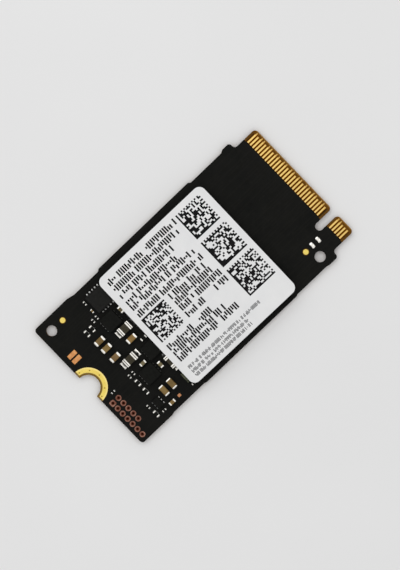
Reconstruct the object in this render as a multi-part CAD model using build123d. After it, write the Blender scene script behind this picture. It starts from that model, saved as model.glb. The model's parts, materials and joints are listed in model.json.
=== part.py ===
from build123d import *
from collections import namedtuple
import os

# An M.2 solid-state drive card, type 2242 with an M key, parts on its top face only.
# Millimetres. Origin on the underside at the card's middle, +Y towards the edge connector, +Z up.
# Driving dimensions come first. A place is a pair: across from the card's centre line, and up from
# its foot, the end with the mounting notch.

# Card outline. The thickness is over the pads, which stand a little proud of the mask on both faces.
CARD_WIDTH = 22.0
CARD_LENGTH = 42.0
CARD_THICKNESS = 0.8
PAD_THICKNESS = 0.035
MASK_THICKNESS = 0.025
FOOT_CORNER_RADIUS = 0.5
SHOULDER_WIDTH = 1.075
SHOULDER_OUTER_RADIUS = 0.45
SHOULDER_INNER_RADIUS = 0.5
TONGUE_LENGTH = 4.0
TAB_CORNER_RADIUS = 0.6
BEVEL_LENGTH = 0.24
BEVEL_DEPTH = 0.16
KEY_CENTRE = 6.125
KEY_WIDTH = 1.2
KEY_DEPTH = 3.55

# Recesses left in the long edges where the card was broken out of its panel: the edge's side, the
# depth, the start and length counted from the foot or the tip, and the slope's length at the start
Recess = namedtuple("Recess", "side depth start length lead")
FOOT_RECESSES = [Recess(-1, 0.26, 6.4, 6.2, 1.2), Recess(1, 0.13, 5.85, 6.75, 0.5)]
TIP_RECESSES = [Recess(-1, 0.26, 5.35, 6.7, 0.45), Recess(1, 0.13, 5.7, 6.35, 0.4)]
RECESS_RETURN = 0.35

# Edge contacts, distances measured back from the tip. The two rows are staggered by half a pitch,
# and their shifts from the card's centre line count in pitches.
CONTACT_PITCH = 0.5
TOP_ROW_SHIFT = 0.5
BOTTOM_ROW_SHIFT = 0.0
CONTACT_WIDTH = 0.35
CONTACT_START = 0.5
CONTACT_LENGTH = 1.6
CONTACT_EDGE_MARGIN = 0.3
CONTACT_KEY_MARGIN = 0.4
STUB_WIDTH = 0.2
STUB_SHIFT = 0.04
MASK_TO_CONTACT = 0.1
GROUND_EVERY = 3
GROUND_FIRST = 1
SHORT_TAB_SIGNALS = 2

# Mounting notch in the foot and the pads round it
NOTCH_RADIUS = 1.75
NOTCH_RIM = 0.17
NOTCH_PAD_WIDTH = 0.86
PAD_CLEARANCE = 0.05

# Tooling holes and fiducial targets
TOOLING_RADIUS = 0.785
TOOLING_INSET = 1.74
TOOLING_FROM_FOOT = 1.78
TOOLING_FROM_TIP = 5.81
FIDUCIAL_RADIUS = 0.39
FIDUCIAL_SIDES = 16
FIDUCIAL_CLEARANCE = 0.1
FIDUCIAL_FROM_FOOT = 3.93
FIDUCIAL_INSET_TIP = 3.6
FIDUCIAL_FROM_TIP = 6.8

# Debug header: two rows of plated eyelets with many-sided pads, the first one of the lower row square
# with its corners cut. The mask on the underside runs on over them.
EYELET_PITCH = 1.0
EYELET_ROW_PITCH = 1.1
EYELET_PAD_RADIUS = 0.42
EYELET_HOLE_RADIUS = 0.26
EYELET_PLATING = 0.05
EYELET_CORNER = 0.12
EYELET_SIDES = 12
EYELET_INSET = 0.96
EYELET_FROM_FOOT = 0.95
EYELETS_LOWER = 7
EYELETS_UPPER = 5

# Bare copper pads and tinned domes
BRIDGE_PAD_WIDTH = 0.73
BRIDGE_PAD_LENGTH = 1.5
BRIDGE_PAD_GAP = 0.18
BRIDGE_PLACE = (-4.38, 1.55)
TEST_PAD_WIDTH = 0.45
TEST_PAD_LENGTH = 0.5
TEST_PAD_PLACE = (9.67, 8.51)
DOME_WIDTH = 0.97
DOME_LENGTH = 0.58
DOME_HEIGHT = 0.14
DOME_PITCH = 1.14
DOME_COUNT = 2
DOME_INSET = 3.65
DOME_FROM_TIP = 4.38

# Storage package: solder balls, substrate and mould cap, with the label stuck on top
PACKAGE_WIDTH = 20.0
PACKAGE_LENGTH = 16.0
PACKAGE_ACROSS = 0.2
PACKAGE_FROM_FOOT = 13.0
BALL_RADIUS = 0.2
BALL_HEIGHT = 0.22
BALL_PITCH = 1.6
BALL_MARGIN = 0.9
BALL_SIDES = 6
SUBSTRATE_HEIGHT = 0.22
MOULD_HEIGHT = 0.86
LABEL_SIDE_MARGIN = 0.035
LABEL_END_OVERHANG = 1.93
LABEL_THICKNESS = 0.1
LABEL_CORNER = 1.0
LABEL_SHIFT = (0.0, 0.07)
LABEL_TURN = -0.4

# How far the knee of a hollow solder fillet stands out of its corner, as a share of reach and climb
SOLDER_HOLLOW = 0.3

# Two-ended chip cases: length, width and height over the terminals, the terminals' band along the
# body and their plating thickness, and how far solder reaches out and climbs the end
Case = namedtuple("Case", "length width height band plating reach climb")
CASE_0201 = Case(0.6, 0.3, 0.3, 0.15, 0.015, 0.08, 0.15)
CASE_0402 = Case(1.06, 0.58, 0.5, 0.24, 0.02, 0.1, 0.3)
CASE_0603 = Case(1.66, 0.88, 0.8, 0.33, 0.025, 0.15, 0.45)
INDUCTOR_CASE = Case(2.02, 1.23, 1.0, 0.5, 0.03, 0.52, 0.55)

# Chip resistors are flatter: a ceramic base under a glass coat, both between the terminals. Their
# plating is how far the terminals stand above the base.
RESISTOR_0201 = Case(0.6, 0.3, 0.23, 0.15, 0.02, 0.08, 0.14)
RESISTOR_0402 = Case(1.0, 0.5, 0.35, 0.22, 0.025, 0.1, 0.2)
COAT_THICKNESS = 0.02

# Leaded packages: body across, along and high, leads on two opposite sides, their width and pitch,
# and how far each lead's solder toe reaches out and climbs the side
Package = namedtuple("Package", "across along high leads lead_width pitch reach climb")
CONVERTER = Package(2.4, 2.3, 0.75, 4, 0.25, 0.5, 0.14, 0.12)
SWITCH = Package(2.86, 3.0, 0.75, 5, 0.2, 0.5, 0.3, 0.25)
LOGIC = Package(1.0, 1.45, 0.5, 3, 0.25, 0.5, 0.18, 0.16)

# Clock crystal: ceramic base and metal lid
CRYSTAL_WIDTH = 1.6
CRYSTAL_LENGTH = 2.0
CRYSTAL_BASE_HEIGHT = 0.32
CRYSTAL_LID_INSET = 0.1
CRYSTAL_LID_HEIGHT = 0.14
CRYSTAL_PLACE = (8.46, 11.64)

# Placement: across, up from the foot, and the turn of the part's long axis from the X axis
Place = namedtuple("Place", "across up turn")
ALONG_X = 0
ALONG_Y = 90
ABOUT_FACE = 180
CAPACITORS = {
    "capacitor_01": (CASE_0603, Place(-3.54, 5.74, ALONG_Y)),
    "capacitor_02": (CASE_0603, Place(-2.16, 5.74, ALONG_Y)),
    "capacitor_03": (CASE_0603, Place(-0.4, 5.74, ALONG_Y)),
    "capacitor_04": (CASE_0603, Place(-0.72, 9.22, ALONG_Y)),
    "capacitor_05": (CASE_0603, Place(7.68, 8.92, ALONG_X)),
    "capacitor_06": (CASE_0603, Place(7.68, 7.48, ALONG_X)),
    "capacitor_07": (CASE_0402, Place(2.88, 7.95, ALONG_Y)),
    "capacitor_08": (CASE_0402, Place(4.69, 9.61, ALONG_X)),
    "capacitor_09": (CASE_0402, Place(9.67, 7.15, ALONG_Y)),
    "capacitor_10": (CASE_0201, Place(-7.31, 7.85, ALONG_X)),
    "capacitor_11": (CASE_0402, Place(-4.71, 10.92, ALONG_X)),
}
INDUCTORS = {
    "inductor_1": (INDUCTOR_CASE, Place(-2.37, 9.52, ALONG_Y)),
    "inductor_2": (INDUCTOR_CASE, Place(1.25, 7.07, ALONG_Y)),
    "inductor_3": (INDUCTOR_CASE, Place(5.35, 11.15, ALONG_X)),
}
RESISTORS = [
    (RESISTOR_0402, Place(-5.51, 6.14, ALONG_X)),
    (RESISTOR_0402, Place(-5.51, 5.13, ALONG_X)),
    (RESISTOR_0402, Place(0.39, 10.47, ALONG_Y)),
    (RESISTOR_0402, Place(4.39, 5.53, ALONG_X)),
    (RESISTOR_0402, Place(6.0, 5.53, ALONG_X)),
    (RESISTOR_0402, Place(9.31, 4.37, ALONG_X)),
    (RESISTOR_0201, Place(-8.8, 7.85, ALONG_X)),
    (RESISTOR_0201, Place(-6.21, 7.69, ALONG_X)),
    (RESISTOR_0201, Place(-6.21, 6.99, ALONG_X)),
    (RESISTOR_0201, Place(2.955, 6.01, ALONG_X)),
    (RESISTOR_0201, Place(2.955, 5.29, ALONG_X)),
    (RESISTOR_0201, Place(9.74, 5.53, ALONG_Y)),
    (RESISTOR_0201, Place(7.84, 4.23, ALONG_X)),
    (RESISTOR_0201, Place(2.92, 2.1, ALONG_Y)),
    (RESISTOR_0201, Place(9.83, 11.15, ALONG_Y)),
]
PACKAGES = {
    "converter_1": (CONVERTER, Place(-4.475, 8.8, ALONG_Y)),
    "converter_2": (CONVERTER, Place(4.62, 7.65, ALONG_Y)),
    "converter_3": (CONVERTER, Place(2.3, 10.3, ALONG_Y)),
    "power_switch": (SWITCH, Place(-7.86, 9.9, ALONG_X)),
    "logic_gate": (LOGIC, Place(8.36, 5.64, ALONG_Y)),
}

# Derived levels and edges
SAME_POINT = 0.001
FOOT = -CARD_LENGTH / 2
TIP = CARD_LENGTH / 2
SIDE = CARD_WIDTH / 2
SHOULDER = TIP - TONGUE_LENGTH
TONGUE_HALF = SIDE - SHOULDER_WIDTH
CORE_BOTTOM = PAD_THICKNESS
CORE_TOP = CARD_THICKNESS - PAD_THICKNESS
MASK_TOP = CORE_TOP + MASK_THICKNESS
MASK_END = TIP - CONTACT_START - CONTACT_LENGTH - MASK_TO_CONTACT
NOTCH_PAD_INNER = NOTCH_RADIUS + NOTCH_RIM
NOTCH_PAD_OUTER = NOTCH_PAD_INNER + NOTCH_PAD_WIDTH
TOOLING_HOLES = [
    (-SIDE + TOOLING_INSET, FOOT + TOOLING_FROM_FOOT),
    (SIDE - TOOLING_INSET, TIP - TOOLING_FROM_TIP),
]
FIDUCIALS = [
    (-SIDE + TOOLING_INSET, FOOT + FIDUCIAL_FROM_FOOT),
    (SIDE - FIDUCIAL_INSET_TIP, TIP - FIDUCIAL_FROM_TIP),
]
EYELET_LAST = SIDE - EYELET_INSET
EYELET_FIRST = EYELET_LAST - (EYELETS_LOWER - 1) * EYELET_PITCH
EYELETS = [
    (EYELET_FIRST + column * EYELET_PITCH, FOOT + EYELET_FROM_FOOT + row * EYELET_ROW_PITCH)
    for row, columns in enumerate((EYELETS_LOWER, EYELETS_UPPER))
    for column in range(columns)
]
BRIDGE_STEP = (BRIDGE_PAD_WIDTH + BRIDGE_PAD_GAP) / 2
BRIDGE_PADS = [
    (BRIDGE_PLACE[0] + side * BRIDGE_STEP, FOOT + BRIDGE_PLACE[1]) for side in (-1, 1)
]


def at(place):
    """Location of a placed part, seated on the top mask."""
    return Pos(place.across, FOOT + place.up, MASK_TOP) * Rot(0, 0, place.turn)


def sheet(face, low, high):
    """A flat layer of the face's shape between two levels."""
    return extrude(Pos(0, 0, low) * face, high - low)


def top_pad(face):
    return sheet(face, CORE_TOP, CARD_THICKNESS)


def bottom_pad(face):
    return sheet(face, 0, CORE_BOTTOM)


def spots(places, face):
    """The face repeated at each place."""
    return Sketch() + [Pos(x, y) * face for x, y in places]


def corners(face, x, y):
    """The face's vertices at y, on either side of the centre line at the distance x."""
    return face.vertices().filter_by(lambda v: abs(abs(v.X) - x) + abs(v.Y - y) < SAME_POINT)


# Card outline

def recess_face(recess, end, direction):
    """A shallow panel-break recess in one long edge, sloping in at its start and back at its end."""
    start = end + direction * recess.start
    stop = start + direction * recess.length
    edge = recess.side * SIDE
    floor = recess.side * (SIDE - recess.depth)
    return make_face(Polyline(
        (edge, start),
        (floor, start + direction * recess.lead),
        (floor, stop - direction * RECESS_RETURN),
        (edge, stop),
        close=True,
    ))


def card_outline():
    body_length = SHOULDER - FOOT
    outline = Pos(0, FOOT + body_length / 2) * Rectangle(CARD_WIDTH, body_length)
    outline += Pos(0, TIP - TONGUE_LENGTH) * Rectangle(2 * TONGUE_HALF, 2 * TONGUE_LENGTH)
    outline = fillet(corners(outline, SIDE, FOOT), FOOT_CORNER_RADIUS)
    outline = fillet(corners(outline, SIDE, SHOULDER), SHOULDER_OUTER_RADIUS)
    outline = fillet(corners(outline, TONGUE_HALF, SHOULDER), SHOULDER_INNER_RADIUS)
    key_round = TIP - KEY_DEPTH + KEY_WIDTH / 2
    outline -= Pos(KEY_CENTRE, (key_round + TIP) / 2) * Rectangle(KEY_WIDTH, TIP - key_round)
    outline -= Pos(KEY_CENTRE, key_round) * Circle(KEY_WIDTH / 2)
    outline = fillet(outline.vertices().group_by(Axis.Y)[-1], TAB_CORNER_RADIUS)
    for recess in FOOT_RECESSES:
        outline -= recess_face(recess, FOOT, 1)
    for recess in TIP_RECESSES:
        outline -= recess_face(recess, TIP, -1)
    outline -= Pos(0, FOOT) * Circle(NOTCH_RADIUS)
    return outline - spots(TOOLING_HOLES, Circle(TOOLING_RADIUS))


def tip_bevel(level, direction):
    """Wedge that bevels one face of the tongue's tip."""
    profile = make_face(Polyline(
        (TIP - BEVEL_LENGTH, level),
        (TIP, level),
        (TIP, level + direction * BEVEL_DEPTH),
        close=True,
    ))
    return extrude(Plane.YZ * profile, TONGUE_HALF, both=True)


def laminate(outline):
    drilled = outline - spots(EYELETS, eyelet_barrel())
    core = sheet(drilled, CORE_BOTTOM, CORE_TOP)
    return core - tip_bevel(CORE_TOP, -1) - tip_bevel(CORE_BOTTOM, 1)


# Pads and openings

def eyelet_hole():
    return RegularPolygon(EYELET_HOLE_RADIUS, EYELET_SIDES)


def eyelet_barrel():
    return RegularPolygon(EYELET_HOLE_RADIUS + EYELET_PLATING, EYELET_SIDES)


def eyelet_pads():
    """Round pads, with a square one at the header's first pin."""
    square = Rectangle(2 * EYELET_PAD_RADIUS, 2 * EYELET_PAD_RADIUS)
    first = Pos(*EYELETS[0]) * chamfer(square.vertices(), EYELET_CORNER)
    return first + spots(EYELETS[1:], RegularPolygon(EYELET_PAD_RADIUS, EYELET_SIDES))


def bridge_faces():
    return spots(BRIDGE_PADS, Rectangle(BRIDGE_PAD_WIDTH, BRIDGE_PAD_LENGTH))


def test_face():
    across, up = TEST_PAD_PLACE
    return Pos(across, FOOT + up) * Rectangle(TEST_PAD_WIDTH, TEST_PAD_LENGTH)


def fiducial_faces(radius):
    return spots(FIDUCIALS, RegularPolygon(radius, FIDUCIAL_SIDES))


def masked(outline):
    """What both masks cover: the card up to the bare end of the tongue, clear of the mounting pads."""
    cover = outline & Pos(0, (FOOT + MASK_END) / 2) * Rectangle(CARD_WIDTH, MASK_END - FOOT)
    return cover - Pos(0, FOOT) * Circle(NOTCH_PAD_OUTER + PAD_CLEARANCE)


def mask_top(outline):
    cover = masked(outline) - fiducial_faces(FIDUCIAL_RADIUS + FIDUCIAL_CLEARANCE)
    return sheet(cover - eyelet_pads() - bridge_faces() - test_face(), CORE_TOP, MASK_TOP)


def mask_bottom(outline):
    return sheet(masked(outline), CORE_BOTTOM - MASK_THICKNESS, CORE_BOTTOM)


def mounting_pad(outline):
    ring = Pos(0, FOOT) * (Circle(NOTCH_PAD_OUTER) - Circle(NOTCH_PAD_INNER))
    return ring & outline


def eyelets():
    """A pad on the top face with a plated barrel down to the underside's mask."""
    holes = spots(EYELETS, eyelet_hole())
    barrels = spots(EYELETS, eyelet_barrel()) - holes
    return top_pad(eyelet_pads() - holes) + sheet(barrels, CORE_BOTTOM, CORE_TOP)


# Edge contacts

def contact_columns(shift):
    """Contact centres on the long and the short tab, on a grid shifted from the card's centre line."""
    limit = TONGUE_HALF - CONTACT_EDGE_MARGIN - CONTACT_WIDTH / 2
    steps = int(2 * TONGUE_HALF / CONTACT_PITCH)
    grid = [(step + shift) * CONTACT_PITCH for step in range(-steps, steps)]
    key_gap = KEY_WIDTH / 2 + CONTACT_KEY_MARGIN
    long_tab = [x for x in grid if -limit <= x < KEY_CENTRE - key_gap]
    short_tab = [x for x in grid if KEY_CENTRE + key_gap < x <= limit]
    return long_tab, short_tab


def contact_face(x, has_stub):
    """A contact, with the narrow plating stub that runs on to the bevel where it has one."""
    near_end = TIP - CONTACT_START
    face = Pos(x, near_end - CONTACT_LENGTH / 2) * Rectangle(CONTACT_WIDTH, CONTACT_LENGTH)
    if has_stub:
        stub_length = CONTACT_START - BEVEL_LENGTH
        face += Pos(x + STUB_SHIFT, near_end + stub_length / 2) * Rectangle(STUB_WIDTH, stub_length)
    return face


def contacts_top():
    long_tab, short_tab = contact_columns(TOP_ROW_SHIFT)
    faces = [contact_face(x, i % GROUND_EVERY != GROUND_FIRST) for i, x in enumerate(long_tab)]
    faces += [contact_face(x, i < SHORT_TAB_SIGNALS) for i, x in enumerate(short_tab)]
    return [top_pad(face) for face in faces]


def contacts_bottom():
    long_tab, short_tab = contact_columns(BOTTOM_ROW_SHIFT)
    return [bottom_pad(contact_face(x, False)) for x in long_tab + short_tab]


# Solder

def solder_fillet(width, reach, climb):
    """A hollow fillet on the card, up an end face that stands at x = 0."""
    profile = make_face(Polyline(
        (0, 0),
        (reach, 0),
        (SOLDER_HOLLOW * reach, SOLDER_HOLLOW * climb),
        (0, climb),
        close=True,
    ))
    return extrude(Plane.XZ * profile, width / 2, both=True)


def both_ends(piece, length):
    """A piece at the +X end of a part of that length, and its twin at the other end."""
    return [Rot(0, 0, turn) * Pos(length / 2, 0, 0) * piece for turn in (0, ABOUT_FACE)]


def chip_solder(case, place):
    joint = solder_fillet(case.width, case.reach, case.climb)
    return [at(place) * end for end in both_ends(joint, case.length)]


# Two-ended chips

def on_base(*sizes):
    """A box centred across its base, standing on z = 0."""
    return Box(*sizes, align=(Align.CENTER, Align.CENTER, Align.MIN))


def chip_body(case):
    size = [dimension - 2 * case.plating for dimension in (case.length, case.width, case.height)]
    return Pos(0, 0, case.plating) * on_base(*size)


def chip_ends(case):
    """Terminals plated over both ends of the body."""
    cap = Pos(-case.band / 2, 0, 0) * on_base(case.band, case.width, case.height)
    return [end - chip_body(case) for end in both_ends(cap, case.length)]


# Chip resistors

def resistor_base(case):
    return on_base(case.length - 2 * case.band, case.width, case.height - case.plating)


def resistor_coat(case):
    coat = on_base(case.length - 2 * case.band, case.width, COAT_THICKNESS)
    return Pos(0, 0, case.height - case.plating) * coat


def resistor_ends(case):
    cap = Pos(-case.band / 2, 0, 0) * on_base(case.band, case.width, case.height)
    return both_ends(cap, case.length)


# Leaded packages

def package_body(package):
    return on_base(package.across, package.along, package.high)


def package_leads(package):
    """Lead ends with their solder toes, in a row along two opposite sides."""
    toe = solder_fillet(package.lead_width, package.reach, package.climb)
    middle = (package.leads - 1) / 2
    row = [Pos(0, (lead - middle) * package.pitch, 0) * toe for lead in range(package.leads)]
    return [end for toe in row for end in both_ends(toe, package.across)]


# Crystal

def crystal_lid():
    width = CRYSTAL_WIDTH - 2 * CRYSTAL_LID_INSET
    length = CRYSTAL_LENGTH - 2 * CRYSTAL_LID_INSET
    return Pos(0, 0, CRYSTAL_BASE_HEIGHT) * on_base(width, length, CRYSTAL_LID_HEIGHT)


# Storage package

def ball_places():
    """A ring of balls near the package's edge, on one pitch each way."""
    columns = int((PACKAGE_WIDTH - 2 * BALL_MARGIN) / BALL_PITCH)
    rows = int((PACKAGE_LENGTH - 2 * BALL_MARGIN) / BALL_PITCH)
    return [
        ((column - columns / 2) * BALL_PITCH, (row - rows / 2) * BALL_PITCH)
        for column in range(columns + 1)
        for row in range(rows + 1)
        if column in (0, columns) or row in (0, rows)
    ]


def dome():
    """A solder dome: a low arched bar on the card."""
    half = DOME_LENGTH / 2
    arch = ThreePointArc((-half, 0), (0, DOME_HEIGHT), (half, 0))
    return extrude(Plane.YZ * make_face(arch + Line((half, 0), (-half, 0))), DOME_WIDTH / 2, both=True)


# Assembly

def build():
    """Every node's solids, by node name."""
    nodes = {}
    outline = card_outline()
    nodes["circuit_board"] = [laminate(outline)]
    nodes["solder_mask_top"] = [mask_top(outline)]
    nodes["solder_mask_bottom"] = [mask_bottom(outline)]
    nodes["edge_contacts_top"] = contacts_top()
    nodes["edge_contacts_bottom"] = contacts_bottom()
    pad = mounting_pad(outline)
    nodes["mounting_pads"] = [top_pad(pad), bottom_pad(pad)]
    nodes["fiducials"] = [top_pad(fiducial_faces(FIDUCIAL_RADIUS))]
    nodes["header_eyelets"] = [eyelets()]
    nodes["copper_pads"] = [top_pad(bridge_faces() + test_face())]
    dome_across = SIDE - DOME_INSET
    nodes["solder_domes"] = [
        Pos(dome_across, TIP - DOME_FROM_TIP - row * DOME_PITCH, MASK_TOP) * dome()
        for row in range(DOME_COUNT)
    ]

    package = Pos(PACKAGE_ACROSS, FOOT + PACKAGE_FROM_FOOT + PACKAGE_LENGTH / 2)
    ball = RegularPolygon(BALL_RADIUS, BALL_SIDES)
    ball_top = MASK_TOP + BALL_HEIGHT
    mould_base = ball_top + SUBSTRATE_HEIGHT
    label_base = mould_base + MOULD_HEIGHT
    package_face = package * Rectangle(PACKAGE_WIDTH, PACKAGE_LENGTH)
    nodes["package_balls"] = [sheet(package * spots(ball_places(), ball), MASK_TOP, ball_top)]
    nodes["package_substrate"] = [sheet(package_face, ball_top, mould_base)]
    nodes["package_mould"] = [sheet(package_face, mould_base, label_base)]
    label_width = PACKAGE_WIDTH - 2 * LABEL_SIDE_MARGIN
    label_length = PACKAGE_LENGTH + 2 * LABEL_END_OVERHANG
    label_place = package * Pos(*LABEL_SHIFT) * Rot(0, 0, LABEL_TURN)
    label_face = label_place * RectangleRounded(label_width, label_length, LABEL_CORNER)
    nodes["label"] = [sheet(label_face, label_base, label_base + LABEL_THICKNESS)]

    solder = []
    for name, (case, place) in (CAPACITORS | INDUCTORS).items():
        nodes[name + "_body"] = [at(place) * chip_body(case)]
        nodes[name + "_ends"] = [at(place) * end for end in chip_ends(case)]
        solder += chip_solder(case, place)
    nodes["resistor_bases"] = [at(place) * resistor_base(case) for case, place in RESISTORS]
    nodes["resistor_coats"] = [at(place) * resistor_coat(case) for case, place in RESISTORS]
    nodes["resistor_ends"] = [at(place) * end for case, place in RESISTORS for end in resistor_ends(case)]
    for case, place in RESISTORS:
        solder += chip_solder(case, place)
    for name, (leaded, place) in PACKAGES.items():
        nodes[name + "_body"] = [at(place) * package_body(leaded)]
        nodes[name + "_leads"] = [at(place) * lead for lead in package_leads(leaded)]
    crystal = Place(*CRYSTAL_PLACE, ALONG_X)
    nodes["crystal_base"] = [at(crystal) * on_base(CRYSTAL_WIDTH, CRYSTAL_LENGTH, CRYSTAL_BASE_HEIGHT)]
    nodes["crystal_lid"] = [at(crystal) * crystal_lid()]
    nodes["solder_joints"] = solder
    return nodes


os.makedirs("parts", exist_ok=True)
for node, pieces in build().items():
    solids = [solid for piece in pieces for solid in piece.solids()]
    export_step(solids[0] if len(solids) == 1 else Compound(children=solids), f"parts/{node}.step")
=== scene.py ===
import json
import math
import random
from collections import namedtuple

import bmesh
import bpy
from mathutils import Matrix, Vector


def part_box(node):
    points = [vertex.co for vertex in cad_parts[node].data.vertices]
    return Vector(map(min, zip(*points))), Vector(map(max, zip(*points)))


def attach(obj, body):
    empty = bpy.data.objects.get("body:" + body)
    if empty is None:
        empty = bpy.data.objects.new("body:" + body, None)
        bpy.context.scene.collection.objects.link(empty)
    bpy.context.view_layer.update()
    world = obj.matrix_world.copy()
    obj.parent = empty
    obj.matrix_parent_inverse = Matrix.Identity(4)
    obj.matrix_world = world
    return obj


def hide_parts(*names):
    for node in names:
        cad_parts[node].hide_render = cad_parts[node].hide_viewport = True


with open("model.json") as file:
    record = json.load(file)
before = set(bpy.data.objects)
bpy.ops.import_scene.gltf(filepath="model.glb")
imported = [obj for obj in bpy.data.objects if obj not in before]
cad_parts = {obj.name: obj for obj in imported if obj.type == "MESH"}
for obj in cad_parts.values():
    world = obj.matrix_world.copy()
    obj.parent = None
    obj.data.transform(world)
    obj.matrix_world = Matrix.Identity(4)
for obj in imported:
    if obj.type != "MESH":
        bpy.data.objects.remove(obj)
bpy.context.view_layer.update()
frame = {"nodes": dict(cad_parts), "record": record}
nodes = frame["nodes"]

# Pieces are drawn in millimetres in the card's own frame, and scaled to metres when they are made.
MM = 0.001


def put(name, data):
    """A new object in the scene."""
    made = bpy.data.objects.new(name, data)
    bpy.context.scene.collection.objects.link(made)
    return made


# Node trees

def fill(node, inputs):
    """A node's sockets filled from values or other nodes' outputs."""
    for key, value in inputs.items():
        if isinstance(value, bpy.types.NodeSocket):
            node.id_data.links.new(value, node.inputs[key])
        else:
            node.inputs[key].default_value = value


def add(tree, kind, inputs=None, **settings):
    """A node with its settings and inputs."""
    made = tree.nodes.new(kind)
    for name, value in settings.items():
        setattr(made, name, value)
    fill(made, inputs or {})
    return made


def new_socket(tree, way, label, kind):
    """A socket on the outside of a node tree."""
    return tree.interface.new_socket(label, in_out=way, socket_type="NodeSocket" + kind)


def calc(operation, *values):
    """The outcome of one sum on numbers and nodes' outputs, in the tree of those outputs."""
    tree = next(value.id_data for value in values if isinstance(value, bpy.types.NodeSocket))
    return add(tree, "ShaderNodeMath", dict(enumerate(values)), operation=operation).outputs[0]


def mix_colour(factor, first, second):
    """Two colours mixed, the first alone where the factor is 0."""
    inputs = {0: factor, 6: first, 7: second}
    return add(factor.id_data, "ShaderNodeMix", inputs, data_type="RGBA").outputs[2]


def tint(mask, share, under, over):
    """A colour laid over another by a share of a mask."""
    return mix_colour(calc("MULTIPLY", mask, share), under, over)


def fit(value, low, high, to_low=0.0, to_high=1.0):
    """Value moved from one range to another, held at its ends."""
    inputs = {0: value, 1: low, 2: high, 3: to_low, 4: to_high}
    return add(value.id_data, "ShaderNodeMapRange", inputs).outputs[0]


def fade(value, near, far):
    """1 up to the near end of a range, and 0 from its far end on."""
    return fit(value, near, far, 1.0, 0.0)


def off_middle(steps):
    """How far a number lies from the middle between two whole numbers."""
    return calc("ABSOLUTE", calc("SUBTRACT", calc("FRACT", steps), 0.5))


def use(tree, group, **inputs):
    """The outputs of a shader group in a material's tree."""
    return add(tree, "ShaderNodeGroup", inputs, node_tree=group).outputs


def millimetres(tree):
    """The place on the piece in the card's frame, in millimetres."""
    place = add(tree, "ShaderNodeTexCoord").outputs["Object"]
    return add(tree, "ShaderNodeVectorMath", {0: place, "Scale": 1 / MM}, operation="SCALE").outputs[0]


def coordinates(tree):
    """The same place as three numbers: across the card, along it and up."""
    return add(tree, "ShaderNodeSeparateXYZ", {0: millimetres(tree)}).outputs


# Surface effects

# Noise values that count as the lower and the upper end of a cloud
COLOUR_ENDS = (0.32, 0.68)
VALUE_ENDS = (0.3, 0.7)


def effect(name, inputs, draw):
    """A shader group: inputs with their starting values, and a function that draws its outputs from them."""
    tree = bpy.data.node_groups.new(name, "ShaderNodeTree")
    for label, start in inputs.items():
        kind = "Float" if isinstance(start, float) else {3: "Vector", 4: "Color"}[len(start)]
        new_socket(tree, "INPUT", label, kind).default_value = start
    drawn = draw(tree, tree.nodes.new("NodeGroupInput").outputs)
    for label, value in drawn.items():
        new_socket(tree, "OUTPUT", label, "Color" if value.type == "RGBA" else "Float")
    fill(tree.nodes.new("NodeGroupOutput"), drawn)
    return tree


def noise(tree, given):
    """Noise over the surface in millimetres, stretched along the axes."""
    factors = {0: millimetres(tree), 1: given["Stretch"]}
    place = add(tree, "ShaderNodeVectorMath", factors, operation="MULTIPLY").outputs[0]
    inputs = {"Vector": place, "Scale": given["Scale"], "Detail": given["Detail"]}
    return add(tree, "ShaderNodeTexNoise", inputs).outputs[0]


def draw_mottle(tree, given):
    """Two colours clouded together."""
    return {"Colour": mix_colour(fit(noise(tree, given), *COLOUR_ENDS), given["Dark"], given["Light"])}


def draw_spread(tree, given):
    """A value that wanders between two ends over the surface."""
    return {"Value": fit(noise(tree, given), *VALUE_ENDS, given["Low"], given["High"])}


def draw_traces(tree, given):
    """Copper tracks and covered vias under a thin mask: parallel runs along the card, broken up."""
    jog_share, via_scale, track_edge, via_edge = 0.37, 0.62, (0.2, 0.32), (0.09, 0.14)
    place = coordinates(tree)
    lane = calc("DIVIDE", place[0], given["Pitch"])
    lane_number = calc("FLOOR", lane)
    run = calc("ADD", calc("DIVIDE", place[1], given["Run"]), calc("MULTIPLY", lane_number, jog_share))
    cell = add(tree, "ShaderNodeCombineXYZ", {0: lane_number, 1: calc("FLOOR", run)}).outputs[0]
    lot = add(tree, "ShaderNodeTexWhiteNoise", {"Vector": cell}, noise_dimensions="2D").outputs[0]
    laid = calc("LESS_THAN", lot, given["Share"])
    track = calc("MULTIPLY", fade(off_middle(lane), *track_edge), laid)
    spread = {"Vector": millimetres(tree), "Scale": via_scale}
    spots = add(tree, "ShaderNodeTexVoronoi", spread, voronoi_dimensions="2D").outputs[0]
    via = fade(spots, *via_edge)
    return {"Copper": calc("MAXIMUM", track, via), "Height": calc("ADD", track, via)}


def draw_weave(tree, given):
    """Glass cloth in resin: two crossed sets of yarns on the faces, and plies on the cut edges."""
    crossing = 1.2
    place = coordinates(tree)

    def wave(axis, length, half_turns):
        steps = calc("DIVIDE", place[axis], given[length])
        return calc("SINE", calc("MULTIPLY", steps, half_turns * math.pi))

    warp = calc("MULTIPLY", wave(0, "Yarn", 2), wave(1, "Yarn", 1))
    weft = calc("MULTIPLY", wave(1, "Yarn", 2), wave(0, "Yarn", 1))
    return {
        "Glass": fit(calc("ADD", warp, weft), -crossing, crossing),
        "Plies": fit(wave(2, "Ply", 2), -1.0, 1.0),
    }


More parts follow.
